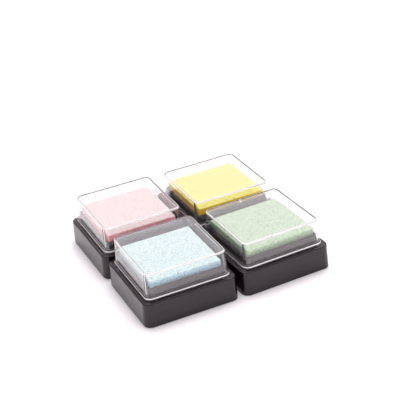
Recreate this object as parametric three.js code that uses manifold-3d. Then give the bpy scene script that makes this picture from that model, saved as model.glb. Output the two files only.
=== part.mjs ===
// Four small square ink pads, standing in a loose two-by-two block.
//
// Each pad is a moulded base with a raised platform, a foam block glued into
// the platform's pocket, and a clear lid that drops over the platform and
// rests on the base's ledge. All four pads share one set of sizes.
//
// Millimetres, +Z up. The set stands on Z = 0, with the middle of its
// bounding box over the origin. The front is -Y.

import * as THREE from 'three';
import { mergeVertices } from 'three/addons/utils/BufferGeometryUtils.js';
import Module from 'manifold-3d';

const wasm = await Module();
wasm.setup();

// ---- driving sizes --------------------------------------------------------

// Foam block: the inked piece, and the size that the rest is built around.
const foamWidth = 30.3;
const foamThickness = 4.3;
const foamCorner = 0.5;
const foamGap = 0.3; // foam to the pocket's wall, each side

// Adhesive sheet under the foam.
const adhesiveThickness = 0.2;
const adhesiveInset = 0.4; // in from the foam's edge, each side

// Platform: the raised part of the base that holds the foam.
const platformHeight = 4.4; // ledge to the platform's rim
const pocketDepth = 1.8; // rim to the pocket's floor
const pocketRim = 0.8; // width of the rim round the pocket
const platformDraft = 0.2; // each side, over the platform's height
const platformCorner = 1.5;
const platformRound = 0.3;
const floorThickness = 1.4; // under the pocket

// Ribs on the platform's four walls, which grip the lid.
const ribProud = 0.2;
const ribWidth = 0.8;
const ribHeight = 3.8;
const ribSpacing = 17.6; // the two ribs of one wall, centre to centre
const ribRoot = 0.5; // how far a rib runs into its wall

// Lid.
const lidFit = 0.12; // rib tip to the lid's inner wall
const lidWall = 1.0;
const lidTop = 1.2; // thickness of the top plate
const lidHeadroom = 3.0; // foam to the underside of the top plate
const lidDraft = 0.5; // each side, over the lid's height
const lidEdgeRound = 0.25;
const beadProud = 0.3; // rim bead, beyond the lid's wall
const beadHeight = 1.5;

// Gate mark: the small disc that moulding leaves on one wall of the lid.
const gateRadius = 0.6;
const gateProud = 0.15;
const gateRoot = 0.5;
const gateDrop = 1.9; // below the top of the lid

// Base skirt.
const ledgeMargin = 1.68; // rim bead to the skirt's outer face
const baseHeight = 10.4; // foot to ledge
const baseWall = 1.6;
const baseDraft = 0.25; // each side, over the base's height
const baseCorner = 3.2;
const ledgeRound = 0.5;

// How the four pads stand: each one's place in a grid of feet that would just
// touch, its shift from there, and its turn in degrees. lidTurn counts the
// quarter turns of its lid.
const pads = [
  { name: 'blue', colour: '#cdeaf2', column: 0, row: 0, shiftX: 0, shiftY: 0, turn: 0, lidTurn: 0 },
  { name: 'green', colour: '#bcd9b4', column: 1, row: 0, shiftX: 1.1, shiftY: 0.6, turn: 2.35, lidTurn: 1 },
  { name: 'pink', colour: '#f7c3c9', column: 0, row: 1, shiftX: -0.55, shiftY: 2.1, turn: 0.2, lidTurn: 0 },
  { name: 'yellow', colour: '#ffe23c', column: 1, row: 1, shiftX: -0.1, shiftY: 1.35, turn: 0.85, lidTurn: 1 },
];

const cornerSteps = 7; // straight steps in each rounded corner
const roundSteps = 4; // straight steps in each rounded edge

// ---- sizes worked out from them -------------------------------------------

const pocketWidth = foamWidth + 2 * foamGap;
const platformTopWidth = pocketWidth + 2 * pocketRim;
const platformFootWidth = platformTopWidth + 2 * platformDraft;
const platformTopZ = baseHeight + platformHeight;
const pocketFloorZ = platformTopZ - pocketDepth;

const foamBottomZ = pocketFloorZ + adhesiveThickness;
const foamTopZ = foamBottomZ + foamThickness;

const lidInnerTopZ = foamTopZ + lidHeadroom;
const lidTopZ = lidInnerTopZ + lidTop;
const lidSlope = lidDraft / (lidTopZ - baseHeight); // inward, per mm of height
// The lid clears the rib tips at the ledge and at the platform's rim, whichever
// is the tighter.
const widestPlatform = Math.max(platformFootWidth, platformTopWidth + 2 * lidSlope * platformHeight);
const lidInnerFoot = widestPlatform + 2 * (ribProud + lidFit);
const lidOuterFoot = lidInnerFoot + 2 * lidWall;
const lidInnerCorner = platformCorner + ribProud + lidFit;
const lidOuterCorner = lidInnerCorner + lidWall;

const baseTopWidth = lidOuterFoot + 2 * (beadProud + ledgeMargin);
const baseFootWidth = baseTopWidth + 2 * baseDraft;

// ---- shape helpers --------------------------------------------------------

// Points of a square with rounded corners, anticlockwise, at height z.
function squareRing({ width, corner, z }) {
  const half = width / 2;
  const points = [];
  for (let quarter = 0; quarter < 4; quarter++) {
    const start = (quarter * Math.PI) / 2;
    const sideX = quarter === 0 || quarter === 3 ? 1 : -1;
    const sideY = quarter < 2 ? 1 : -1;
    for (let step = 0; step <= cornerSteps; step++) {
      const angle = start + (step / cornerSteps) * (Math.PI / 2);
      points.push(
        sideX * (half - corner) + corner * Math.cos(angle),
        sideY * (half - corner) + corner * Math.sin(angle),
        z,
      );
    }
  }
  return points;
}

// A square lathe: skins a closed body over a list of rings, with a flat cap on
// the first and the last. The rings run up the outside and down the inside, so
// the body lies on the left of the path as it is drawn outwards from the axis.
function squareLathe(rings) {
  const count = 4 * (cornerSteps + 1);
  const positions = rings.flatMap(squareRing);
  const index = [];
  for (let ring = 0; ring + 1 < rings.length; ring++) {
    for (let i = 0; i < count; i++) {
      const a = ring * count + i;
      const b = ring * count + ((i + 1) % count);
      index.push(a, b, b + count, a, b + count, a + count);
    }
  }
  const last = (rings.length - 1) * count;
  for (let i = 1; i + 1 < count; i++) {
    index.push(0, i + 1, i);
    index.push(last, last + i, last + i + 1);
  }
  const geometry = new THREE.BufferGeometry();
  geometry.setAttribute('position', new THREE.Float32BufferAttribute(positions, 3));
  geometry.setIndex(index);
  return geometry;
}

// Rings of a quarter-round edge. The edge would be sharp at (width, z); it
// starts radius below it and ends radius in from it.
function roundedEdge({ width, corner, z, radius }) {
  const rings = [];
  for (let step = 0; step <= roundSteps; step++) {
    const angle = (step / roundSteps) * (Math.PI / 2);
    const inward = radius * (1 - Math.cos(angle));
    rings.push({
      width: width - 2 * inward,
      corner: Math.max(corner - inward, 0.1),
      z: z - radius * (1 - Math.sin(angle)),
    });
  }
  return rings;
}

function toManifold(geometry) {
  const bare = geometry.clone();
  bare.deleteAttribute('normal');
  bare.deleteAttribute('uv');
  const merged = mergeVertices(bare, 1e-4);
  return new wasm.Manifold(
    new wasm.Mesh({
      numProp: 3,
      vertProperties: Float32Array.from(merged.attributes.position.array),
      triVerts: Uint32Array.from(merged.index.array),
    }),
  );
}

function fromManifold(solid) {
  const mesh = solid.getMesh();
  const geometry = new THREE.BufferGeometry();
  geometry.setAttribute('position', new THREE.BufferAttribute(Float32Array.from(mesh.vertProperties), 3));
  geometry.setIndex(new THREE.BufferAttribute(Uint32Array.from(mesh.triVerts), 1));
  geometry.computeVertexNormals();
  return geometry;
}

function join(body, additions) {
  let solid = toManifold(body);
  for (const addition of additions) solid = solid.add(toManifold(addition));
  return fromManifold(solid);
}

// ---- base -----------------------------------------------------------------

// One rib, standing on the ledge against the platform's +X wall. It leans
// back with the wall, and its top slopes in to meet it.
function ribGeometry() {
  const lean = (platformDraft * ribHeight) / platformHeight;
  const side = new THREE.Shape();
  side.moveTo(-ribRoot, -ribRoot);
  side.lineTo(ribProud, -ribRoot);
  side.lineTo(ribProud, 0);
  side.lineTo(ribProud - lean, ribHeight - ribProud);
  side.lineTo(-lean, ribHeight);
  side.lineTo(-ribRoot, ribHeight);
  side.closePath();
  const geometry = new THREE.ExtrudeGeometry(side, { depth: ribWidth, bevelEnabled: false });
  geometry.rotateX(Math.PI / 2);
  geometry.translate(platformFootWidth / 2, ribWidth / 2, baseHeight);
  return geometry;
}

function baseGeometry() {
  const innerCorner = Math.max(baseCorner - baseWall, 0.4);
  const hollowWidth = platformFootWidth - 2 * baseWall;
  const hollowCorner = Math.max(platformCorner - baseWall, 0.4);
  const pocketCorner = foamCorner + foamGap;
  const underLedgeZ = baseHeight - baseWall;
  const underFloorZ = pocketFloorZ - floorThickness;
  const skirtSlope = baseDraft / baseHeight;

  const hollow = [
    { width: hollowWidth, corner: hollowCorner, z: underFloorZ },
    { width: hollowWidth, corner: hollowCorner, z: underLedgeZ },
    {
      width: baseFootWidth - 2 * (baseWall + skirtSlope * underLedgeZ),
      corner: innerCorner,
      z: underLedgeZ,
    },
    { width: baseFootWidth - 2 * baseWall, corner: innerCorner, z: 0 },
  ];
  const skirt = [
    { width: baseFootWidth, corner: baseCorner, z: 0 },
    ...roundedEdge({ width: baseTopWidth, corner: baseCorner, z: baseHeight, radius: ledgeRound }),
  ];
  const platform = [
    { width: platformFootWidth, corner: platformCorner, z: baseHeight },
    ...roundedEdge({ width: platformTopWidth, corner: platformCorner, z: platformTopZ, radius: platformRound }),
  ];
  const pocket = [
    { width: pocketWidth, corner: pocketCorner, z: platformTopZ },
    { width: pocketWidth, corner: pocketCorner, z: pocketFloorZ },
  ];
  const shell = squareLathe([...hollow, ...skirt, ...platform, ...pocket]);

  const ribs = [];
  for (let wall = 0; wall < 4; wall++) {
    for (const side of [-1, 1]) {
      const rib = ribGeometry();
      rib.translate(0, (side * ribSpacing) / 2, 0);
      rib.rotateZ((wall * Math.PI) / 2);
      ribs.push(rib);
    }
  }
  return join(shell, ribs);
}

// ---- foam and adhesive ----------------------------------------------------

function adhesiveGeometry() {
  const width = foamWidth - 2 * adhesiveInset;
  return squareLathe([
    { width, corner: foamCorner, z: pocketFloorZ },
    { width, corner: foamCorner, z: foamBottomZ },
  ]);
}

function foamGeometry() {
  return squareLathe([
    { width: foamWidth, corner: foamCorner, z: foamBottomZ },
    { width: foamWidth, corner: foamCorner, z: foamTopZ },
  ]);
}

// ---- lid ------------------------------------------------------------------

// Width lost to the lid's draft at height z.
function lidTaper(z) {
  return 2 * lidSlope * (z - baseHeight);
}

function lidGeometry() {
  const inside = [
    { width: lidInnerFoot - lidTaper(lidInnerTopZ), corner: lidInnerCorner, z: lidInnerTopZ },
    { width: lidInnerFoot, corner: lidInnerCorner, z: baseHeight },
  ];
  // The rim bead is half an ellipse, drawn up the outside of the wall.
  const bead = [];
  for (let step = 0; step <= 2 * roundSteps; step++) {
    const angle = (step / (2 * roundSteps)) * Math.PI;
    const z = baseHeight + (beadHeight / 2) * (1 - Math.cos(angle));
    const proud = beadProud * Math.sin(angle);
    bead.push({ width: lidOuterFoot - lidTaper(z) + 2 * proud, corner: lidOuterCorner + proud, z });
  }
  const outside = [
    ...bead,
    ...roundedEdge({
      width: lidOuterFoot - lidTaper(lidTopZ),
      corner: lidOuterCorner,
      z: lidTopZ,
      radius: lidEdgeRound,
    }),
  ];

  const gateZ = lidTopZ - gateDrop;
  const gate = new THREE.CylinderGeometry(gateRadius, gateRadius, gateRoot + gateProud, 16);
  gate.rotateZ(Math.PI / 2);
  gate.translate((lidOuterFoot - lidTaper(gateZ)) / 2 + (gateProud - gateRoot) / 2, 0, gateZ);

  return join(squareLathe([...inside, ...outside]), [gate]);
}

// ---- materials ------------------------------------------------------------

const blackPlastic = new THREE.MeshStandardMaterial({ color: '#2d2829', roughness: 0.3, metalness: 0 });
const adhesiveFilm = new THREE.MeshStandardMaterial({ color: '#e8e2cf', roughness: 0.6, metalness: 0 });
const clearPlastic = new THREE.MeshStandardMaterial({
  color: '#f4f7f8',
  roughness: 0.05,
  metalness: 0,
  transparent: true,
  opacity: 0.3,
});

function foamMaterial(colour) {
  return new THREE.MeshStandardMaterial({ color: colour, roughness: 0.95, metalness: 0 });
}

// ---- assembly -------------------------------------------------------------

function namedMesh(name, geometry, material) {
  const mesh = new THREE.Mesh(geometry, material);
  mesh.name = name;
  return mesh;
}

function padGroup({ name, colour, column, row, shiftX, shiftY, turn, lidTurn }) {
  const lid = namedMesh(`${name}_lid`, lidGeometry(), clearPlastic);
  lid.rotation.z = (lidTurn * Math.PI) / 2;

  const pad = new THREE.Group();
  pad.add(
    namedMesh(`${name}_base`, baseGeometry(), blackPlastic),
    namedMesh(`${name}_adhesive`, adhesiveGeometry(), adhesiveFilm),
    namedMesh(`${name}_foam`, foamGeometry(), foamMaterial(colour)),
    lid,
  );
  pad.position.set(column * baseFootWidth + shiftX, row * baseFootWidth + shiftY, 0);
  pad.rotation.z = THREE.MathUtils.degToRad(turn);
  return pad;
}

const set = new THREE.Group();
for (const pad of pads) set.add(padGroup(pad));

// Stand the set with the middle of its bounding box over the origin.
set.updateMatrixWorld(true);
const middle = new THREE.Box3().setFromObject(set, true).getCenter(new THREE.Vector3());
set.position.set(-middle.x, -middle.y, 0);
set.updateMatrixWorld(true);

export default set;
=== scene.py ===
"""Four small square ink pads under clear lids, standing in a loose block.

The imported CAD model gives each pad's place and size. This script gives the
finished look: moulded bases, porous foam blocks and clear polished lids.
"""

import math

import bmesh
import bpy
from mathutils import Matrix, Vector


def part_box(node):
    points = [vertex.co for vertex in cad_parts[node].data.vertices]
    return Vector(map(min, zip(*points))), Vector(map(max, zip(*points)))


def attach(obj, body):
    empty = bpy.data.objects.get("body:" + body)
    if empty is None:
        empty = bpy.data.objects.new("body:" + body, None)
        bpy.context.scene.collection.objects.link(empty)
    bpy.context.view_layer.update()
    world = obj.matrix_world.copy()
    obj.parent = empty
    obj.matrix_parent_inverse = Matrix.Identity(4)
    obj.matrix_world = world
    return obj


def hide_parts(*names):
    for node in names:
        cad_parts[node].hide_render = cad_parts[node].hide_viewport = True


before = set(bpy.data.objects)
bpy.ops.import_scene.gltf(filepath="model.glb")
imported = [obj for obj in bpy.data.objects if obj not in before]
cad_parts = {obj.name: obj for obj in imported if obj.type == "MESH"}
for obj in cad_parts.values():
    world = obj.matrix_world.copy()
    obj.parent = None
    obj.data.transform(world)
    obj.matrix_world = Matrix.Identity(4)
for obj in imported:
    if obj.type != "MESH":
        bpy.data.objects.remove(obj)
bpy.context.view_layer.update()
scene = bpy.context.scene
MM = 0.001


# ---- Camera ----------------------------------------------------------------
# A long lens on a stand to the front left of the set, looking down on it. The
# stand leans a little to its right, and the set stands low in the frame.

AIM = Vector((13.59, 25.08, 10.0)) * MM
AIM_DISTANCE = 531.2 * MM
VIEW_SIDE = math.radians(22.4)  # round to the left of the front
VIEW_ABOVE = math.radians(28.12)
VIEW_LEAN = math.radians(5.62)
LENS_MM = 109.6
SENSOR_MM = 36.0

back = Vector((
    -math.sin(VIEW_SIDE) * math.cos(VIEW_ABOVE),
    -math.cos(VIEW_SIDE) * math.cos(VIEW_ABOVE),
    math.sin(VIEW_ABOVE),
))
side = Vector((0.0, 0.0, 1.0)).cross(back).normalized()
upward = back.cross(side)
camera = bpy.data.objects.new("camera", bpy.data.cameras.new("camera"))
camera.data.lens = LENS_MM
camera.data.sensor_width = SENSOR_MM
camera.data.clip_start = 0.02
camera.data.clip_end = 20.0
turn = Matrix((side, upward, back)).transposed() @ Matrix.Rotation(-VIEW_LEAN, 3, "Z")
camera.matrix_world = Matrix.Translation(AIM + back * AIM_DISTANCE) @ turn.to_4x4()
scene.collection.objects.link(camera)
scene.camera = camera


# ---- Table and light -------------------------------------------------------
# A plain white table with low white walls round it and a diffuser high up
# behind. Between them the room is dark, which draws a line along round edges.

table_mesh = bpy.data.meshes.new("table")
TABLE_HALF = 4.0
table_mesh.from_pydata(
    [(x * TABLE_HALF, y * TABLE_HALF, 0.0) for x, y in ((-1, -1), (1, -1), (1, 1), (-1, 1))],
    [],
    [(0, 1, 2, 3)],
)
table = bpy.data.objects.new("table", table_mesh)
scene.collection.objects.link(table)
white_table = bpy.data.materials.new("white_table")
white_table.use_nodes = True
table_shader = white_table.node_tree.nodes["Principled BSDF"]
table_shader.inputs["Base Color"].default_value = (0.875, 0.875, 0.875, 1.0)
table_shader.inputs["Roughness"].default_value = 0.6
table_shader.inputs["Specular IOR Level"].default_value = 0.2
table.data.materials.append(white_table)

STUDIO_WHITE = (1.0, 0.93, 0.965, 1.0)
WALLS = 1.3  # the white sweep behind and the low white walls round the front
WALL_TOP = (0.50, 0.62)  # sine of the elevation where they end
DIFFUSER = 4.0
ROOM = 0.12  # everything else
DIFFUSER_MIDDLE = Vector((0.179, 0.434, 0.883))  # high up, beyond the set
DIFFUSER_EDGE = (0.88, 0.92)  # cosine of its half angle
GAP_MIDDLE = Vector((-0.6, 0.8, 0.0))  # an open side, back to the left
GAP_EDGE = (0.80, 0.90)

studio = bpy.data.worlds.new("studio")
studio.use_nodes = True
scene.world = studio
nodes, links = studio.node_tree.nodes, studio.node_tree.links
direction = nodes.new("ShaderNodeTexCoord").outputs["Generated"]


def towards(middle):
    """The cosine of the angle between the view ray and a direction."""
    dot = nodes.new("ShaderNodeVectorMath")
    dot.operation = "DOT_PRODUCT"
    dot.inputs[1].default_value = middle
    links.new(direction, dot.inputs[0])
    return dot.outputs["Value"]


def fade(value, start, full, before, after):
    """A soft step from one brightness to another."""
    step = nodes.new("ShaderNodeMapRange")
    step.interpolation_type = "SMOOTHSTEP"
    for label, number in (("From Min", start), ("From Max", full), ("To Min", before), ("To Max", after)):
        step.inputs[label].default_value = number
    links.new(value, step.inputs["Value"])
    return step.outputs["Result"]


def combine(operation, first, second):
    maths = nodes.new("ShaderNodeMath")
    maths.operation = operation
    links.new(first, maths.inputs[0])
    links.new(second, maths.inputs[1])
    return maths.outputs["Value"]


walls = fade(towards(Vector((0.0, 0.0, 1.0))), *WALL_TOP, WALLS, ROOM)
open_side = fade(towards(GAP_MIDDLE), *GAP_EDGE, 1.0, 0.1)
diffuser = fade(towards(DIFFUSER_MIDDLE), *DIFFUSER_EDGE, ROOM, DIFFUSER)
sky = combine("MAXIMUM", combine("MULTIPLY", walls, open_side), diffuser)
nodes["Background"].inputs["Color"].default_value = STUDIO_WHITE
links.new(sky, nodes["Background"].inputs["Strength"])

LAMP_SIZE = 1.3
LAMP_WATTS = 6.3
LAMP_PLACE = (0.12, -0.15, 0.85)  # over the set, a little to the front right
lamp_data = bpy.data.lights.new("soft_lamp", "AREA")
lamp_data.shape = "DISK"
lamp_data.size = LAMP_SIZE
lamp_data.energy = LAMP_WATTS
lamp_data.color = STUDIO_WHITE[:3]
lamp = bpy.data.objects.new("soft_lamp", lamp_data)
lamp.location = LAMP_PLACE
lamp.rotation_euler = lamp.location.to_track_quat("Z", "Y").to_euler()
lamp.visible_glossy = False
lamp.visible_camera = False
lamp.visible_transmission = False
scene.collection.objects.link(lamp)

scene.view_settings.view_transform = "Standard"
scene.view_settings.look = "None"
scene.cycles.max_bounces = 48
scene.cycles.transmission_bounces = 48
scene.cycles.glossy_bounces = 48  # light runs a long way inside a clear wall
scene.cycles.diffuse_bounces = 6
scene.cycles.transparent_max_bounces = 24
scene.cycles.caustics_reflective = False
scene.cycles.sample_clamp_indirect = 6.0
scene.cycles.use_denoising = True


# ---- Bases -----------------------------------------------------------------
# One glossy brown-black moulding to a pad: a skirt with a flat ledge, and
# a raised platform with a pocket for the foam. The underside is open.

PADS = ("blue", "green", "pink", "yellow")


def pad_turn(node):
    """The turn of a square CAD node about Z, from its largest upright face."""
    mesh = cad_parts[node].data
    upright = [face for face in mesh.polygons if abs(face.normal.z) < 0.1]
    normal = max(upright, key=lambda face: face.area).normal
    quarter = math.pi / 2
    return (math.atan2(normal.y, normal.x) + quarter / 2) % quarter - quarter / 2


def pad_place(colour):
    """Where a pad stands: its middle on the table, and its turn."""
    low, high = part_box(f"{colour}_adhesive")
    middle = Vector(((low[0] + high[0]) / 2, (low[1] + high[1]) / 2, 0.0))
    return Matrix.Translation(middle) @ Matrix.Rotation(pad_turn(f"{colour}_adhesive"), 4, "Z")


place = {colour: pad_place(colour) for colour in PADS}


def width_of(node):
    low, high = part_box(node)
    return high[0] - low[0]


def rounded_square_loft(name, rings, steps=10, highlight_bands=None):
    """A closed mesh skinned over rounded squares, each (half width, corner, z).

    The rings start and end in the middle, and both ends are capped. The band
    that follows a ring listed in the band map takes the material at the slot
    given; the lid uses this for whitish bands that paint highlights.
    """
    mesh = bpy.data.meshes.new(name)
    bm = bmesh.new()
    highlight_bands = highlight_bands or {}
    loops = []
    for half, corner, z in rings:
        loop = []
        for quarter in range(4):
            centre_x = (half - corner) * (1 if quarter in (0, 3) else -1)
            centre_y = (half - corner) * (1 if quarter in (0, 1) else -1)
            for step in range(steps + 1):
                angle = (quarter + step / steps) * math.pi / 2
                x = centre_x + corner * math.cos(angle)
                y = centre_y + corner * math.sin(angle)
                loop.append(bm.verts.new((x, y, z)))
        loops.append(loop)
    for band, (lower, upper) in enumerate(zip(loops, loops[1:])):
        for i, vertex in enumerate(lower):
            after = (i + 1) % len(lower)
            face = bm.faces.new((vertex, lower[after], upper[after], upper[i]))
            face.material_index = highlight_bands.get(band, 0)
    bm.faces.new(reversed(loops[0]))
    bm.faces.new(loops[-1])
    bm.to_mesh(mesh)
    bm.free()
    return mesh


def arc(half, corner, z, radius, start, end, steps=6):
    """Rings along a round edge about (half, z), in degrees from outwards to up.

    The corner grows and shrinks with the edge, so that it stays even.
    """
    rings = []
    for step in range(steps + 1):
        angle = math.radians(start + (end - start) * step / steps)
        out = radius * math.cos(angle)
        rings.append((half + out, max(corner + out, 0.1 * MM), z + radius * math.sin(angle)))
    return rings


def finished(name, mesh, colour, body, slot, *materials):
    """Puts a piece in its pad's place, smooths it and rides it on its body."""
    mesh.transform(place[colour])
    mesh.shade_smooth()
    mesh.set_sharp_from_angle(angle=math.radians(38))
    if not mesh.materials:
        for material in materials:
            mesh.materials.append(material)
    piece = bpy.data.objects.new(name, mesh)
    scene.collection.objects.link(piece)
    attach(piece, body)
    return piece


def even_shading(piece):
    """Keeps big flat faces flat beside their rounded edges."""
    weighted = piece.modifiers.new("even_shading", "WEIGHTED_NORMAL")
    weighted.keep_sharp = True


FOOT_HALF = width_of("blue_base") / 2
LEDGE_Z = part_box("blue_lid")[0][2]
PLATFORM_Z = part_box("blue_base")[1][2]
POCKET_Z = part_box("blue_adhesive")[0][2]
FOAM_HALF = width_of("blue_foam") / 2
SKIRT_TOP_HALF = FOOT_HALF - 0.25 * MM
SKIRT_CORNER = 3.2 * MM
SKIRT_WALL = 1.6 * MM
LEDGE_ROUND = 0.5 * MM
FOOT_ROUND = 0.25 * MM
POCKET_HALF = FOAM_HALF + 0.3 * MM
PLATFORM_TOP_HALF = POCKET_HALF + 0.8 * MM
PLATFORM_FOOT_HALF = PLATFORM_TOP_HALF + 0.2 * MM
PLATFORM_CORNER = 1.5 * MM
PLATFORM_ROUND = 0.35 * MM
FLOOR_THICK = 1.4 * MM


def base_rings():
    under_ledge = LEDGE_Z - SKIRT_WALL
    under_floor = POCKET_Z - FLOOR_THICK
    hollow = PLATFORM_FOOT_HALF - SKIRT_WALL
    inner_corner = SKIRT_CORNER - SKIRT_WALL
    inner_top = SKIRT_TOP_HALF - SKIRT_WALL
    inner_foot = FOOT_HALF - SKIRT_WALL
    root = 0.25 * MM  # small fillet where the platform stands on the ledge
    return [
        (hollow, 0.4 * MM, under_floor),
        (hollow, 0.4 * MM, under_ledge),
        (inner_top, inner_corner, under_ledge),
        *arc(inner_foot + FOOT_ROUND, inner_corner + FOOT_ROUND, FOOT_ROUND, FOOT_ROUND, 180, 270, 4),
        *arc(FOOT_HALF - FOOT_ROUND, SKIRT_CORNER - FOOT_ROUND, FOOT_ROUND, FOOT_ROUND, -90, 0, 4),
        *arc(
            SKIRT_TOP_HALF - LEDGE_ROUND, SKIRT_CORNER - LEDGE_ROUND,
            LEDGE_Z - LEDGE_ROUND, LEDGE_ROUND, 0, 90, 10,
        ),
        *arc(PLATFORM_FOOT_HALF + root, PLATFORM_CORNER + root, LEDGE_Z + root, root, 270, 180, 4),
        *arc(
            PLATFORM_TOP_HALF - PLATFORM_ROUND, PLATFORM_CORNER - PLATFORM_ROUND,
            PLATFORM_Z - PLATFORM_ROUND, PLATFORM_ROUND, 0, 90, 6,
        ),
        *arc(POCKET_HALF + 0.12 * MM, 0.92 * MM, PLATFORM_Z - 0.12 * MM, 0.12 * MM, 90, 180, 3),
        (POCKET_HALF, 0.8 * MM, POCKET_Z),
    ]


def grain_group():
    """Fine moulded grain: a normal and a roughness that vary with place."""
    group = bpy.data.node_groups.new("moulded_grain", "ShaderNodeTree")
    face = group.interface
    size = face.new_socket("Size", in_out="INPUT", socket_type="NodeSocketFloat")
    size.default_value = 9000.0
    depth = face.new_socket("Depth", in_out="INPUT", socket_type="NodeSocketFloat")
    depth.default_value = 0.05
    low = face.new_socket("Low Roughness", in_out="INPUT", socket_type="NodeSocketFloat")
    low.default_value = 0.2
    high = face.new_socket("High Roughness", in_out="INPUT", socket_type="NodeSocketFloat")
    high.default_value = 0.3
    face.new_socket("Roughness", in_out="OUTPUT", socket_type="NodeSocketFloat")
    face.new_socket("Normal", in_out="OUTPUT", socket_type="NodeSocketVector")
    nodes, links = group.nodes, group.links
    source = nodes.new("NodeGroupInput")
    result = nodes.new("NodeGroupOutput")
    where = nodes.new("ShaderNodeTexCoord")
    grain = nodes.new("ShaderNodeTexNoise")
    grain.inputs["Detail"].default_value = 3.0
    links.new(where.outputs["Object"], grain.inputs["Vector"])
    links.new(source.outputs["Size"], grain.inputs["Scale"])
    cloud = nodes.new("ShaderNodeTexNoise")
    cloud.inputs["Scale"].default_value = 140.0
    cloud.inputs["Detail"].default_value = 4.0
    links.new(where.outputs["Object"], cloud.inputs["Vector"])
    spread = nodes.new("ShaderNodeMapRange")
    spread.inputs["From Min"].default_value = 0.3
    spread.inputs["From Max"].default_value = 0.7
    links.new(cloud.outputs["Fac"], spread.inputs["Value"])
    links.new(source.outputs["Low Roughness"], spread.inputs["To Min"])
    links.new(source.outputs["High Roughness"], spread.inputs["To Max"])
    bump = nodes.new("ShaderNodeBump")
    bump.inputs["Distance"].default_value = 0.00002
    links.new(source.outputs["Depth"], bump.inputs["Strength"])
    links.new(grain.outputs["Fac"], bump.inputs["Height"])
    links.new(spread.outputs["Result"], result.inputs["Roughness"])
    links.new(bump.outputs["Normal"], result.inputs["Normal"])
    return group


def specks_group():
    """Dust: a mask of small sparse specks, and none between them."""
    group = bpy.data.node_groups.new("dust_specks", "ShaderNodeTree")
    face = group.interface
    scale = face.new_socket("Scale", in_out="INPUT", socket_type="NodeSocketFloat")
    scale.default_value = 300.0
    amount = face.new_socket("Amount", in_out="INPUT", socket_type="NodeSocketFloat")
    amount.default_value = 0.06
    face.new_socket("Mask", in_out="OUTPUT", socket_type="NodeSocketFloat")
    nodes, links = group.nodes, group.links
    source = nodes.new("NodeGroupInput")
    result = nodes.new("NodeGroupOutput")
    where = nodes.new("ShaderNodeTexCoord")
    cells = nodes.new("ShaderNodeTexVoronoi")
    links.new(where.outputs["Object"], cells.inputs["Vector"])
    links.new(source.outputs["Scale"], cells.inputs["Scale"])
    near = nodes.new("ShaderNodeMath")
    near.operation = "LESS_THAN"
    near.inputs[1].default_value = 0.09
    links.new(cells.outputs["Distance"], near.inputs[0])
    chosen = nodes.new("ShaderNodeSeparateColor")
    links.new(cells.outputs["Color"], chosen.inputs["Color"])
    few = nodes.new("ShaderNodeMath")
    few.operation = "LESS_THAN"
    links.new(chosen.outputs["Red"], few.inputs[0])
    links.new(source.outputs["Amount"], few.inputs[1])
    both = nodes.new("ShaderNodeMath")
    both.operation = "MULTIPLY"
    links.new(near.outputs["Value"], both.inputs[0])
    links.new(few.outputs["Value"], both.inputs[1])
    links.new(both.outputs["Value"], result.inputs["Mask"])
    return group


moulded_grain = grain_group()
dust_specks = specks_group()


def base_material():
    material = bpy.data.materials.new("brown_black_moulding")
    material.use_nodes = True
    nodes, links = material.node_tree.nodes, material.node_tree.links
    shader = nodes["Principled BSDF"]
    shader.inputs["IOR"].default_value = 1.49
    grain = nodes.new("ShaderNodeGroup")
    grain.node_tree = moulded_grain
    grain.inputs["Size"].default_value = 7000.0
    grain.inputs["Depth"].default_value = 0.05
    grain.inputs["Low Roughness"].default_value = 0.04
    grain.inputs["High Roughness"].default_value = 0.08
    links.new(grain.outputs["Roughness"], shader.inputs["Roughness"])
    links.new(grain.outputs["Normal"], shader.inputs["Normal"])
    dust = nodes.new("ShaderNodeGroup")
    dust.node_tree = dust_specks
    dust.inputs["Scale"].default_value = 420.0
    dust.inputs["Amount"].default_value = 0.05
    tone = nodes.new("ShaderNodeMix")
    tone.data_type = "RGBA"
    tone.inputs["A"].default_value = (0.0085, 0.0045, 0.0070, 1.0)
    tone.inputs["B"].default_value = (0.12, 0.11, 0.11, 1.0)
    links.new(dust.outputs["Mask"], tone.inputs["Factor"])
    links.new(tone.outputs["Result"], shader.inputs["Base Color"])
    return material


brown_black = base_material()
for colour in PADS:
    shell = finished(
        f"{colour}_base_shell", rounded_square_loft(f"{colour}_base_shell", base_rings()),
        colour, f"{colour}_pad", "base", brown_black,
    )
    even_shading(shell)
    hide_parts(f"{colour}_base")


# ---- Grip ribs -------------------------------------------------------------
# Two slim half-round ribs on each wall of the platform, moulded with the
# base. They lean back with the wall and grip the inside of the lid.

RIB_SPACING = 17.6 * MM
RIB_HEIGHT = 3.8 * MM
RIB_RADIUS = 0.4 * MM
RIB_PROUD = 0.2 * MM


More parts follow.
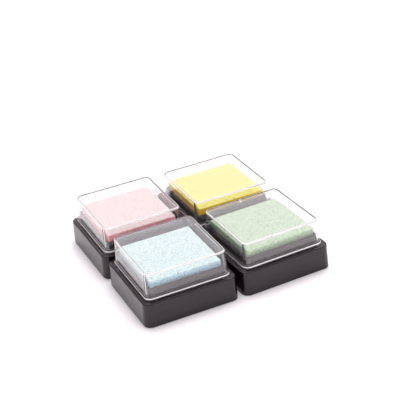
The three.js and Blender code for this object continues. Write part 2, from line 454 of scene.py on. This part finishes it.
def grip_rib_tree():
    tree = bpy.data.node_groups.new("grip_ribs", "GeometryNodeTree")
    face = tree.interface
    for label, kind in (
        ("Wall Distance", "NodeSocketFloat"), ("Spacing", "NodeSocketFloat"),
        ("Height", "NodeSocketFloat"), ("Radius", "NodeSocketFloat"),
        ("Proud", "NodeSocketFloat"), ("Lean", "NodeSocketFloat"),
        ("Level", "NodeSocketFloat"), ("Material", "NodeSocketMaterial"),
    ):
        face.new_socket(label, in_out="INPUT", socket_type=kind)
    face.new_socket("Geometry", in_out="OUTPUT", socket_type="NodeSocketGeometry")
    nodes, links = tree.nodes, tree.links
    source = nodes.new("NodeGroupInput")
    result = nodes.new("NodeGroupOutput")

    def maths(operation, first, second):
        node = nodes.new("ShaderNodeMath")
        node.operation = operation
        for slot, value in enumerate((first, second)):
            if isinstance(value, (int, float)):
                node.inputs[slot].default_value = value
            else:
                links.new(value, node.inputs[slot])
        return node.outputs["Value"]

    rib = nodes.new("GeometryNodeMeshCone")
    rib.inputs["Vertices"].default_value = 20
    links.new(source.outputs["Radius"], rib.inputs["Radius Bottom"])
    links.new(maths("MULTIPLY", source.outputs["Radius"], 0.8), rib.inputs["Radius Top"])
    links.new(source.outputs["Height"], rib.inputs["Depth"])

    # Eight points: two to a wall, on four walls.
    points = nodes.new("GeometryNodePoints")
    points.inputs["Count"].default_value = 8
    index = nodes.new("GeometryNodeInputIndex").outputs["Index"]
    wall = maths("FLOOR", maths("DIVIDE", index, 2), 0)
    side_of = maths("SUBTRACT", maths("MODULO", index, 2), 0.5)
    angle = maths("MULTIPLY", wall, math.pi / 2)
    out = maths("SUBTRACT", maths("ADD", source.outputs["Wall Distance"], source.outputs["Proud"]),
                source.outputs["Radius"])
    along = maths("MULTIPLY", side_of, source.outputs["Spacing"])
    spot = nodes.new("ShaderNodeCombineXYZ")
    links.new(out, spot.inputs["X"])
    links.new(along, spot.inputs["Y"])
    links.new(source.outputs["Level"], spot.inputs["Z"])
    about = nodes.new("ShaderNodeCombineXYZ")
    links.new(angle, about.inputs["Z"])
    turned = nodes.new("ShaderNodeVectorRotate")
    turned.rotation_type = "EULER_XYZ"
    links.new(spot.outputs["Vector"], turned.inputs["Vector"])
    links.new(about.outputs["Vector"], turned.inputs["Rotation"])
    placed = nodes.new("GeometryNodeSetPosition")
    links.new(points.outputs["Points"], placed.inputs["Geometry"])
    links.new(turned.outputs["Vector"], placed.inputs["Position"])
    tilt = nodes.new("ShaderNodeCombineXYZ")
    links.new(maths("MULTIPLY", source.outputs["Lean"], -1), tilt.inputs["Y"])
    links.new(angle, tilt.inputs["Z"])
    copies = nodes.new("GeometryNodeInstanceOnPoints")
    links.new(placed.outputs["Geometry"], copies.inputs["Points"])
    links.new(rib.outputs["Mesh"], copies.inputs["Instance"])
    links.new(tilt.outputs["Vector"], copies.inputs["Rotation"])
    real = nodes.new("GeometryNodeRealizeInstances")
    links.new(copies.outputs["Instances"], real.inputs["Geometry"])
    dressed = nodes.new("GeometryNodeSetMaterial")
    links.new(real.outputs["Geometry"], dressed.inputs["Geometry"])
    links.new(source.outputs["Material"], dressed.inputs["Material"])
    links.new(dressed.outputs["Geometry"], result.inputs["Geometry"])
    return tree


def from_nodes(name, tree, values):
    """The plain mesh that a Geometry Nodes tree makes from these inputs."""
    holder = bpy.data.objects.new(name, bpy.data.meshes.new(name))
    scene.collection.objects.link(holder)
    modifier = holder.modifiers.new(name, "NODES")
    modifier.node_group = tree
    for item in tree.interface.items_tree:
        if item.in_out == "INPUT":
            modifier[item.identifier] = values[item.name]
    graph = bpy.context.evaluated_depsgraph_get()
    mesh = bpy.data.meshes.new_from_object(holder.evaluated_get(graph))
    mesh.name = name
    bpy.data.objects.remove(holder)
    return mesh


grip_ribs = grip_rib_tree()
for colour in PADS:
    ribs = from_nodes(f"{colour}_grip_ribs", grip_ribs, {
        "Wall Distance": PLATFORM_FOOT_HALF,
        "Spacing": RIB_SPACING,
        "Height": RIB_HEIGHT,
        "Radius": RIB_RADIUS,
        "Proud": RIB_PROUD,
        "Lean": math.atan2(PLATFORM_FOOT_HALF - PLATFORM_TOP_HALF, PLATFORM_Z - LEDGE_Z),
        "Level": LEDGE_Z,
        "Material": brown_black,
    })
    finished(f"{colour}_grip_ribs", ribs, colour, f"{colour}_pad", "base", brown_black)


# ---- Adhesive sheets -------------------------------------------------------
# A thin double-sided film on the pocket's floor, which holds the foam down.
# The CAD sheets are the right shape and stay, with a milky film finish.

def adhesive_material():
    material = bpy.data.materials.new("milky_film")
    material.use_nodes = True
    nodes, links = material.node_tree.nodes, material.node_tree.links
    shader = nodes["Principled BSDF"]
    where = nodes.new("ShaderNodeTexCoord")
    streaks = nodes.new("ShaderNodeTexNoise")
    streaks.inputs["Scale"].default_value = 260.0
    links.new(where.outputs["Object"], streaks.inputs["Vector"])
    tone = nodes.new("ShaderNodeMix")
    tone.data_type = "RGBA"
    tone.inputs["A"].default_value = (0.78, 0.74, 0.62, 1.0)
    tone.inputs["B"].default_value = (0.88, 0.86, 0.78, 1.0)
    links.new(streaks.outputs["Fac"], tone.inputs["Factor"])
    links.new(tone.outputs["Result"], shader.inputs["Base Color"])
    grain = nodes.new("ShaderNodeGroup")
    grain.node_tree = moulded_grain
    grain.inputs["Size"].default_value = 3000.0
    grain.inputs["Depth"].default_value = 0.3
    grain.inputs["Low Roughness"].default_value = 0.4
    grain.inputs["High Roughness"].default_value = 0.6
    links.new(grain.outputs["Roughness"], shader.inputs["Roughness"])
    links.new(grain.outputs["Normal"], shader.inputs["Normal"])
    return material


milky_film = adhesive_material()
for colour in PADS:
    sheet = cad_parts[f"{colour}_adhesive"]
    sheet.data.materials.clear()
    sheet.data.materials.append(milky_film)


# ---- Foam blocks -----------------------------------------------------------
# A block of fine open-cell sponge, cut square and soaked with ink. Its cells
# are half a millimetre or less, so its faces are pitted and its edges ragged.

FOAM_LOW_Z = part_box("blue_foam")[0][2]
FOAM_TOP_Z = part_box("blue_foam")[1][2]
FOAM_MESH_STEP = 0.2 * MM
FOAM_EDGE_ROUND = 0.35 * MM
FOAM_CELL = 0.62 * MM
FOAM_PIT_DEPTH = 0.16 * MM
FOAM_ROUGH = 0.1 * MM
FOAM_SKIN = 0.12 * MM  # room for the pits' rims inside the CAD block


def foam_tree():
    tree = bpy.data.node_groups.new("sponge_block", "GeometryNodeTree")
    face = tree.interface
    for label, kind in (
        ("Width", "NodeSocketFloat"), ("Height", "NodeSocketFloat"),
        ("Mesh Step", "NodeSocketFloat"), ("Edge Round", "NodeSocketFloat"),
        ("Cell Size", "NodeSocketFloat"),
        ("Pit Depth", "NodeSocketFloat"), ("Roughness", "NodeSocketFloat"),
        ("Seed Shift", "NodeSocketVector"), ("Material", "NodeSocketMaterial"),
    ):
        face.new_socket(label, in_out="INPUT", socket_type=kind)
    face.new_socket("Geometry", in_out="OUTPUT", socket_type="NodeSocketGeometry")
    nodes, links = tree.nodes, tree.links
    source = nodes.new("NodeGroupInput")
    result = nodes.new("NodeGroupOutput")

    def maths(operation, first, second):
        node = nodes.new("ShaderNodeMath")
        node.operation = operation
        for slot, value in enumerate((first, second)):
            if isinstance(value, (int, float)):
                node.inputs[slot].default_value = value
            else:
                links.new(value, node.inputs[slot])
        return node.outputs["Value"]

    size = nodes.new("ShaderNodeCombineXYZ")
    for axis, label in (("X", "Width"), ("Y", "Width"), ("Z", "Height")):
        links.new(source.outputs[label], size.inputs[axis])
    block = nodes.new("GeometryNodeMeshCube")
    links.new(size.outputs["Vector"], block.inputs["Size"])
    for axis, label in (("X", "Width"), ("Y", "Width"), ("Z", "Height")):
        count = maths("DIVIDE", source.outputs[label], source.outputs["Mesh Step"])
        links.new(count, block.inputs[f"Vertices {axis}"])

    def vectors(operation, first, second):
        node = nodes.new("ShaderNodeVectorMath")
        node.operation = operation
        other = node.inputs["Scale"] if operation == "SCALE" else node.inputs[1]
        links.new(first, node.inputs[0])
        if isinstance(second, float):
            other.default_value = second
        else:
            links.new(second, other)
        return node.outputs["Vector"]

    # Each point is drawn in to a smaller block, then let out by no more than
    # the round edge's radius.
    where = nodes.new("GeometryNodeInputPosition").outputs["Position"]
    radius = nodes.new("ShaderNodeCombineXYZ")
    for axis in "XYZ":
        links.new(source.outputs["Edge Round"], radius.inputs[axis])
    half_size = vectors("SCALE", size.outputs["Vector"], 0.5)
    core = vectors("SUBTRACT", half_size, radius.outputs["Vector"])
    negative = vectors("SCALE", core, -1.0)
    inside = vectors("MAXIMUM", vectors("MINIMUM", where, core), negative)
    outward = vectors("SUBTRACT", where, inside)
    reach = nodes.new("ShaderNodeVectorMath")
    reach.operation = "LENGTH"
    links.new(outward, reach.inputs[0])
    shrink = maths("MINIMUM", maths("DIVIDE", source.outputs["Edge Round"], reach.outputs["Value"]), 1.0)
    softened = nodes.new("GeometryNodeSetPosition")
    links.new(block.outputs["Mesh"], softened.inputs["Geometry"])
    links.new(vectors("ADD", inside, vectors("SCALE", outward, shrink)), softened.inputs["Position"])

    spot = nodes.new("ShaderNodeVectorMath")
    links.new(where, spot.inputs[0])
    links.new(source.outputs["Seed Shift"], spot.inputs[1])
    frequency = maths("DIVIDE", 1.0, source.outputs["Cell Size"])
    cells = nodes.new("ShaderNodeTexVoronoi")
    links.new(spot.outputs["Vector"], cells.inputs["Vector"])
    links.new(frequency, cells.inputs["Scale"])
    cells.inputs["Randomness"].default_value = 1.0
    pit = nodes.new("ShaderNodeMapRange")
    pit.interpolation_type = "SMOOTHSTEP"
    pit.inputs["From Min"].default_value = 0.12
    pit.inputs["From Max"].default_value = 0.52
    pit.inputs["To Min"].default_value = 1.0
    pit.inputs["To Max"].default_value = 0.0
    links.new(cells.outputs["Distance"], pit.inputs["Value"])
    odds = nodes.new("FunctionNodeSeparateColor")
    links.new(cells.outputs["Color"], odds.inputs["Color"])
    open_pit = maths("MULTIPLY", pit.outputs["Result"], odds.outputs["Red"])

    noise = nodes.new("ShaderNodeTexNoise")
    noise.inputs["Detail"].default_value = 3.0
    links.new(spot.outputs["Vector"], noise.inputs["Vector"])
    links.new(maths("MULTIPLY", frequency, 0.8), noise.inputs["Scale"])
    rough = maths("MULTIPLY", maths("SUBTRACT", noise.outputs["Fac"], 0.5),
                  source.outputs["Roughness"])
    raise_by = maths("SUBTRACT", maths("MULTIPLY", rough, 2),
                     maths("MULTIPLY", open_pit, source.outputs["Pit Depth"]))
    shift = nodes.new("ShaderNodeVectorMath")
    shift.operation = "SCALE"
    links.new(nodes.new("GeometryNodeInputNormal").outputs["Normal"], shift.inputs[0])
    links.new(raise_by, shift.inputs["Scale"])
    pitted = nodes.new("GeometryNodeSetPosition")
    links.new(softened.outputs["Geometry"], pitted.inputs["Geometry"])
    links.new(shift.outputs["Vector"], pitted.inputs["Offset"])
    real = nodes.new("GeometryNodeRealizeInstances")
    links.new(pitted.outputs["Geometry"], real.inputs["Geometry"])
    dressed = nodes.new("GeometryNodeSetMaterial")
    links.new(real.outputs["Geometry"], dressed.inputs["Geometry"])
    links.new(source.outputs["Material"], dressed.inputs["Material"])
    links.new(dressed.outputs["Geometry"], result.inputs["Geometry"])
    return tree


# Each ink, with painted light and shade: the sponge's lit top, painted lighter
# and paler; the upper part of its sides, in painted shade; and low down, in
# deeper painted shade by the ledge. Then how dark the painted shade in its open
# pits is, at the sides and on top.
INKS_LIT_AND_SHADED = {
    "blue": ((0.56, 0.735, 0.725), (0.50, 0.75, 0.82), (0.25, 0.43, 0.50), (0.42, 0.55)),
    "green": ((0.47, 0.625, 0.445), (0.46, 0.65, 0.42), (0.22, 0.36, 0.20), (0.40, 0.48)),
    "pink": ((0.72, 0.60, 0.58), (1.0, 0.52, 0.54), (1.0, 0.33, 0.37), (0.68, 0.70)),
    "yellow": ((0.76, 0.72, 0.195), (1.0, 0.70, 0.004), (1.0, 0.50, 0.001), (0.88, 0.82)),
}


def foam_material(colour):
    top, upper, lower, pit_shade = INKS_LIT_AND_SHADED[colour]
    material = bpy.data.materials.new(f"{colour}_sponge")
    material.use_nodes = True
    nodes, links = material.node_tree.nodes, material.node_tree.links
    shader = nodes["Principled BSDF"]
    shader.inputs["Roughness"].default_value = 0.85
    shader.inputs["Specular IOR Level"].default_value = 0.15
    where = nodes.new("ShaderNodeTexCoord")
    parts = nodes.new("ShaderNodeSeparateXYZ")
    links.new(where.outputs["Object"], parts.inputs["Vector"])
    # Painted shade: the sides darken from their upper colour to their lower colour towards the ledge.
    depth = nodes.new("ShaderNodeMapRange")
    depth.inputs["From Min"].default_value = PLATFORM_Z
    depth.inputs["From Max"].default_value = FOAM_TOP_Z - 0.3 * MM
    links.new(parts.outputs["Z"], depth.inputs["Value"])
    shaded_sides = nodes.new("ShaderNodeMix")
    shaded_sides.data_type = "RGBA"
    shaded_sides.inputs["A"].default_value = (*lower, 1.0)
    shaded_sides.inputs["B"].default_value = (*upper, 1.0)
    links.new(depth.outputs["Result"], shaded_sides.inputs["Factor"])
    # Painted light and shade: faces turned up take the lighter, paler top colour, and the sides take
    # their shaded colours.
    shape = nodes.new("ShaderNodeNewGeometry")
    facing = nodes.new("ShaderNodeSeparateXYZ")
    links.new(shape.outputs["True Normal"], facing.inputs["Vector"])
    lit_top_mask = nodes.new("ShaderNodeMapRange")
    lit_top_mask.interpolation_type = "SMOOTHSTEP"
    lit_top_mask.inputs["From Min"].default_value = 0.5
    lit_top_mask.inputs["From Max"].default_value = 0.88
    links.new(facing.outputs["Z"], lit_top_mask.inputs["Value"])
    lit_and_shaded = nodes.new("ShaderNodeMix")
    lit_and_shaded.data_type = "RGBA"
    lit_and_shaded.inputs["B"].default_value = (*top, 1.0)
    links.new(lit_top_mask.outputs["Result"], lit_and_shaded.inputs["Factor"])
    links.new(shaded_sides.outputs["Result"], lit_and_shaded.inputs["A"])

    # Ink lies unevenly from cell to cell, and the open pits are darkened as painted shade.
    mottle = nodes.new("ShaderNodeTexNoise")
    mottle.inputs["Scale"].default_value = 2100.0
    mottle.inputs["Detail"].default_value = 2.0
    links.new(where.outputs["Object"], mottle.inputs["Vector"])
    uneven = nodes.new("ShaderNodeMapRange")
    uneven.inputs["From Min"].default_value = 0.3
    uneven.inputs["From Max"].default_value = 0.7
    uneven.inputs["To Min"].default_value = 0.84
    uneven.inputs["To Max"].default_value = 1.1
    links.new(mottle.outputs["Fac"], uneven.inputs["Value"])
    cells = nodes.new("ShaderNodeTexVoronoi")
    cells.inputs["Scale"].default_value = 1.0 / FOAM_CELL
    links.new(where.outputs["Object"], cells.inputs["Vector"])
    pit = nodes.new("ShaderNodeMapRange")
    pit.interpolation_type = "SMOOTHSTEP"
    pit.inputs["From Min"].default_value = 0.25
    pit.inputs["From Max"].default_value = 0.45
    pit.inputs["To Max"].default_value = 1.0
    links.new(cells.outputs["Distance"], pit.inputs["Value"])
    darkest_pit_shade = nodes.new("ShaderNodeMapRange")
    darkest_pit_shade.inputs["To Min"].default_value = pit_shade[0]
    darkest_pit_shade.inputs["To Max"].default_value = pit_shade[1]
    links.new(lit_top_mask.outputs["Result"], darkest_pit_shade.inputs["Value"])
    links.new(darkest_pit_shade.outputs["Result"], pit.inputs["To Min"])
    amount = nodes.new("ShaderNodeMath")
    amount.operation = "MULTIPLY"
    links.new(uneven.outputs["Result"], amount.inputs[0])
    links.new(pit.outputs["Result"], amount.inputs[1])
    inked = nodes.new("ShaderNodeVectorMath")
    inked.operation = "SCALE"
    links.new(lit_and_shaded.outputs["Result"], inked.inputs[0])
    links.new(amount.outputs["Value"], inked.inputs["Scale"])
    links.new(inked.outputs["Vector"], shader.inputs["Base Color"])
    return material


sponge_block = foam_tree()
for number, colour in enumerate(PADS):
    sponge = foam_material(colour)
    block = from_nodes(f"{colour}_sponge_block", sponge_block, {
        "Width": 2 * (FOAM_HALF - FOAM_SKIN),
        "Height": FOAM_TOP_Z - FOAM_LOW_Z - 2 * FOAM_SKIN,
        "Mesh Step": FOAM_MESH_STEP,
        "Edge Round": FOAM_EDGE_ROUND,
        "Cell Size": FOAM_CELL,
        "Pit Depth": FOAM_PIT_DEPTH,
        "Roughness": FOAM_ROUGH,
        "Seed Shift": (0.1 * number, 0.07 * number, 0.0),
        "Material": sponge,
    })
    block.transform(Matrix.Translation((0.0, 0.0, (FOAM_LOW_Z + FOAM_TOP_Z) / 2)))
    piece = finished(f"{colour}_sponge_block", block, colour, f"{colour}_pad", f"foam_{colour}", sponge)
    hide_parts(f"{colour}_foam")


# ---- Lids ------------------------------------------------------------------
# A clear polished moulding with even walls, round upright corners and a lip
# round its rim, where it stands on the base's ledge. Two whitish bands paint highlights.

LID_TOP_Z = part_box("blue_lid")[1][2]
LID_WALL = 0.8 * MM
LID_TOP = 0.9 * MM
LID_DRAFT = 0.5 * MM
LIP_PROUD = 0.45 * MM
LID_FOOT_HALF = width_of("blue_lid") / 2 - LIP_PROUD
LID_CORNER = 2.4 * MM
LID_INNER_CORNER = 1.6 * MM
LID_EDGE = 0.5 * MM
LID_INNER_EDGE = 0.15 * MM
RIM_EDGE = 0.12 * MM
# The lip as (height above the ledge, share of its full depth), then a hollow
# flare up into the wall. Its middle band is whitish, a painted highlight.
LIP = (
    (0.0, 0.33), (0.12, 0.6), (0.3, 0.82), (0.55, 0.95), (0.75, 1.0), (1.0, 1.0), (1.2, 0.93),
    (1.32, 0.8), (1.42, 0.62), (1.55, 0.44), (1.75, 0.24), (2.0, 0.09), (2.25, 0.0),
)
# Heights on the lip whose band is whitish, to paint its highlight.
LIP_HIGHLIGHT_RANGE = (0.7, 1.1)
LIP_HIGHLIGHT_SLOT, EDGE_HIGHLIGHT_SLOT = 1, 2  # material slots


def lid_half(z):
    """Half the lid's outer width at height z."""
    return LID_FOOT_HALF - LID_DRAFT * (z - LEDGE_Z) / (LID_TOP_Z - LEDGE_Z)


def lid_rings():
    """The lid's rings from the middle of its inside out to the middle of its
    top, and the material slots of the whitish bands that paint highlights."""
    highlight_bands = {}
    inner_top_z = LID_TOP_Z - LID_TOP
    inner_half = lid_half(inner_top_z) - LID_WALL
    rings = arc(
        inner_half - LID_INNER_EDGE, LID_INNER_CORNER - LID_INNER_EDGE,
        inner_top_z - LID_INNER_EDGE, LID_INNER_EDGE, 90, 0, 5,
    )
    inner_foot = LID_FOOT_HALF - LID_WALL
    rings += arc(
        inner_foot + RIM_EDGE, LID_INNER_CORNER + RIM_EDGE, LEDGE_Z + RIM_EDGE, RIM_EDGE, 180, 270, 3,
    )
    for height, share in LIP:
        # The lip's middle band takes the whitish material that paints its highlight.
        if LIP_HIGHLIGHT_RANGE[0] < height < LIP_HIGHLIGHT_RANGE[1]:
            highlight_bands[len(rings)] = LIP_HIGHLIGHT_SLOT
        z = LEDGE_Z + height * MM
        proud = LIP_PROUD * share
        rings.append((lid_half(z) + proud, LID_CORNER + proud, z))
    edge = arc(
        lid_half(LID_TOP_Z) - LID_EDGE, LID_CORNER - LID_EDGE, LID_TOP_Z - LID_EDGE, LID_EDGE, 0, 90, 8,
    )
    # The top edge's rounding takes the whitish material that paints its highlight.
    highlight_bands.update((len(rings) + step, EDGE_HIGHLIGHT_SLOT) for step in range(len(edge) - 1))
    return rings + edge, highlight_bands


def lid_material(name, clearness, roughness):
    """Clear moulding; the share that is not clear scatters as fine scratches on the clear walls, and as
    painted highlights on the lip and edge bands.
    """
    material = bpy.data.materials.new(name)
    material.use_nodes = True
    nodes, links = material.node_tree.nodes, material.node_tree.links
    shader = nodes["Principled BSDF"]
    shader.inputs["Base Color"].default_value = (0.985, 0.985, 0.985, 1.0)
    shader.inputs["Transmission Weight"].default_value = clearness
    shader.inputs["IOR"].default_value = 1.57
    grain = nodes.new("ShaderNodeGroup")
    grain.node_tree = moulded_grain
    grain.inputs["Size"].default_value = 900.0
    grain.inputs["Depth"].default_value = 0.02
    grain.inputs["Low Roughness"].default_value = roughness
    grain.inputs["High Roughness"].default_value = roughness + 0.02
    links.new(grain.outputs["Roughness"], shader.inputs["Roughness"])
    links.new(grain.outputs["Normal"], shader.inputs["Normal"])
    # Lamp light passes straight through, so that the foam is lit evenly.
    path = nodes.new("ShaderNodeLightPath")
    through = nodes.new("ShaderNodeBsdfTransparent")
    through.inputs["Color"].default_value = (0.93, 0.93, 0.93, 1.0)
    either = nodes.new("ShaderNodeMath")
    either.operation = "MAXIMUM"
    links.new(path.outputs["Is Shadow Ray"], either.inputs[0])
    links.new(path.outputs["Is Diffuse Ray"], either.inputs[1])
    mix = nodes.new("ShaderNodeMixShader")
    links.new(either.outputs["Value"], mix.inputs["Fac"])
    links.new(shader.outputs["BSDF"], mix.inputs[1])
    links.new(through.outputs["BSDF"], mix.inputs[2])
    links.new(mix.outputs["Shader"], nodes["Material Output"].inputs["Surface"])
    return material


clear_moulding = lid_material("clear_polished_moulding", clearness=0.98, roughness=0.0)
# Whitish, part-clear copies of the moulding that paint the highlights along the lip and the top edge.
lip_highlight = lid_material("lip_highlight", clearness=0.15, roughness=0.2)
edge_highlight = lid_material("edge_highlight", clearness=0.46, roughness=0.1)
for colour in PADS:
    rings, highlight_bands = lid_rings()
    lid = finished(
        f"{colour}_clear_lid", rounded_square_loft(f"{colour}_clear_lid", rings, highlight_bands=highlight_bands),
        colour, f"{colour}_lid", "lid", clear_moulding, lip_highlight, edge_highlight,
    )
    even_shading(lid)
    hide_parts(f"{colour}_lid")


# ---- Gate marks ------------------------------------------------------------
# The small frosted scar where the lid was cut from its runner, near the top
# of one wall. The lid goes on in any of four turns, so the wall varies.

GATE_RADIUS = 0.6 * MM
GATE_PROUD = 0.12 * MM
GATE_DROP = 1.9 * MM
GATE_WALL = {"blue": 0, "green": 1, "pink": 0, "yellow": 1}  # quarter turns from +X


def gate_mesh(name):
    """A low dome with a dimple in its middle, lying against the +X wall."""
    profile = [(0.0, 0.6), (0.3, 0.65), (0.55, 0.95), (0.8, 0.9), (0.95, 0.6), (1.0, 0.0), (0.9, -0.5)]
    around = 24
    bm = bmesh.new()
    tip = bm.verts.new((profile[0][1] * GATE_PROUD, 0.0, 0.0))
    rings = []
    for share, rise in profile[1:]:
        ring = []
        for step in range(around):
            angle = 2 * math.pi * step / around
            y = share * GATE_RADIUS * math.cos(angle)
            z = share * GATE_RADIUS * math.sin(angle)
            ring.append(bm.verts.new((rise * GATE_PROUD, y, z)))
        rings.append(ring)
    for i in range(around):
        after = (i + 1) % around
        bm.faces.new((tip, rings[0][i], rings[0][after]))
        for inner, outer in zip(rings, rings[1:]):
            bm.faces.new((inner[i], outer[i], outer[after], inner[after]))
    bm.faces.new(reversed(rings[-1]))
    mesh = bpy.data.meshes.new(name)
    bm.to_mesh(mesh)
    bm.free()
    height = LID_TOP_Z - GATE_DROP
    mesh.transform(Matrix.Translation((lid_half(height), 0.0, height)))
    return mesh


def gate_material():
    material = bpy.data.materials.new("frosted_scar")
    material.use_nodes = True
    nodes, links = material.node_tree.nodes, material.node_tree.links
    shader = nodes["Principled BSDF"]
    shader.inputs["Base Color"].default_value = (0.93, 0.94, 0.95, 1.0)
    shader.inputs["Transmission Weight"].default_value = 0.35
    shader.inputs["IOR"].default_value = 1.57
    grain = nodes.new("ShaderNodeGroup")
    grain.node_tree = moulded_grain
    grain.inputs["Size"].default_value = 8000.0
    grain.inputs["Depth"].default_value = 1.0
    grain.inputs["Low Roughness"].default_value = 0.4
    grain.inputs["High Roughness"].default_value = 0.6
    links.new(grain.outputs["Roughness"], shader.inputs["Roughness"])
    links.new(grain.outputs["Normal"], shader.inputs["Normal"])
    return material


frosted_scar = gate_material()
for colour in PADS:
    mark = gate_mesh(f"{colour}_gate_mark")
    mark.transform(Matrix.Rotation(GATE_WALL[colour] * math.pi / 2, 4, "Z"))
    finished(f"{colour}_gate_mark", mark, colour, f"{colour}_lid", "lid", frosted_scar)
